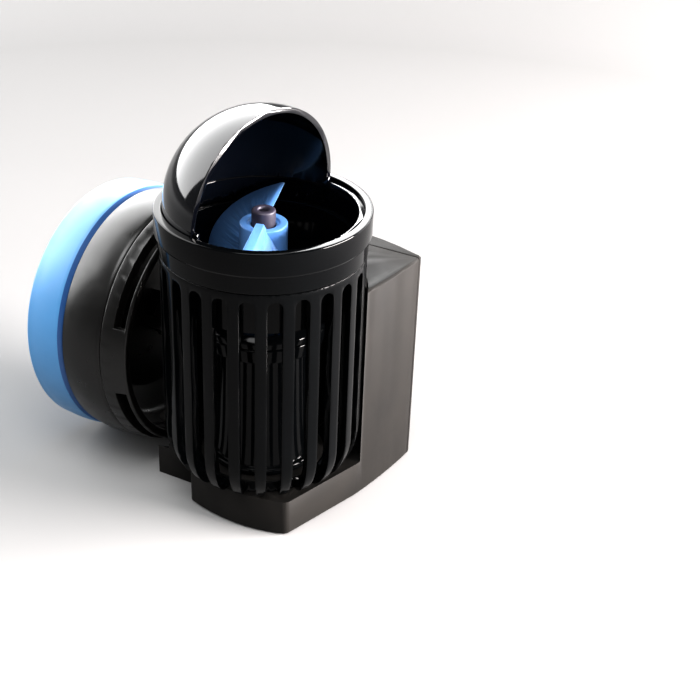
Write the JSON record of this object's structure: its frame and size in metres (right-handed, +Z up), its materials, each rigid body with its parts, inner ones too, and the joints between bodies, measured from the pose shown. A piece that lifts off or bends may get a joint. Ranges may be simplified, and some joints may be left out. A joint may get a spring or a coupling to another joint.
{
  "type": "wave maker pump",
  "caption": "Aquarium flow pump: slotted intake cage on a motor block, propeller in a collar under a swivelling half-dome hood, and a magnet holder on a swivel.",
  "frame": {"origin": "on the flat underside of the motor block, on the axis of the intake cage and the outlet", "axes": "+Z up along the outlet axis; -X toward the magnet holder and the glass; +Y toward the rear housing of the motor block"},
  "size_m": [0.1152, 0.0978, 0.1412],
  "materials": {
    "satin_black": "satin moulded plastic",
    "gloss_black": "glossy moulded plastic",
    "propeller_blue": "smooth moulded plastic",
    "buffer_blue": "soft satin elastomer",
    "bearing_grey": "dark filled plastic",
    "magnet_black": "pressed ferrite",
    "dark_resin": "moulded component bodies",
    "steel": "stainless",
    "laminated_steel": "dark electrical steel",
    "copper": "enamelled copper wire",
    "ceramic_white": "ground ceramic",
    "seal_rubber": "matt rubber",
    "board_green": "circuit board laminate"
  },
  "bodies": {
    "pump_body": {"motor_block": "satin_black", "rear_cover": "satin_black", "cover_screw_1": "steel", "cover_screw_2": "steel", "cover_screw_3": "steel", "cover_screw_4": "steel", "cable_gland": "satin_black", "gland_nut": "satin_black", "circuit_board": "board_green", "driver_module": "dark_resin", "capacitor": "dark_resin", "can_seal": "seal_rubber", "rotor_can": "satin_black", "well_cover": "satin_black", "stator_core": "laminated_steel", "coil_1": "copper", "coil_2": "copper", "coil_3": "copper", "coil_4": "copper", "lower_bush": "seal_rubber", "shaft": "ceramic_white", "cage": "gloss_black", "outlet_collar": "gloss_black", "swivel_bracket": "satin_black", "bracket_screw_1": "steel", "bracket_screw_2": "steel", "friction_washer": "seal_rubber"},
    "rotor": {"propeller": "propeller_blue", "rotor_sleeve": "bearing_grey", "rotor_magnet": "magnet_black"},
    "hood": {"outlet_hood": "gloss_black"},
    "swivel": {"swivel_stud": "satin_black", "hinge_pin": "steel"},
    "magnet_holder": {"magnet_cup": "satin_black", "slotted_ring": "satin_black", "flux_plate": "laminated_steel", "magnet_disc": "magnet_black", "buffer_cap": "buffer_blue"}
  },
  "joints": [
    {"name": "rotor_spin", "type": "hinge", "parent": "pump_body", "child": "rotor", "pos_m": [0, 0, 0.09], "axis": [0, 0, 1], "continuous": true},
    {"name": "hood_swivel", "type": "hinge", "parent": "pump_body", "child": "hood", "pos_m": [0, 0, 0.103], "axis": [0, 0, 1], "continuous": true},
    {"name": "holder_spin", "type": "hinge", "parent": "pump_body", "child": "swivel", "pos_m": [-0.0348, 0.0163, 0.0472], "axis": [1, 0, 0], "range_deg": [-45, 45]},
    {"name": "holder_tilt", "type": "hinge", "parent": "swivel", "child": "magnet_holder", "pos_m": [-0.049, 0.0163, 0.0472], "axis": [0, 0.6293, 0.7771], "range_deg": [-0.5, 5.5]}
  ]
}
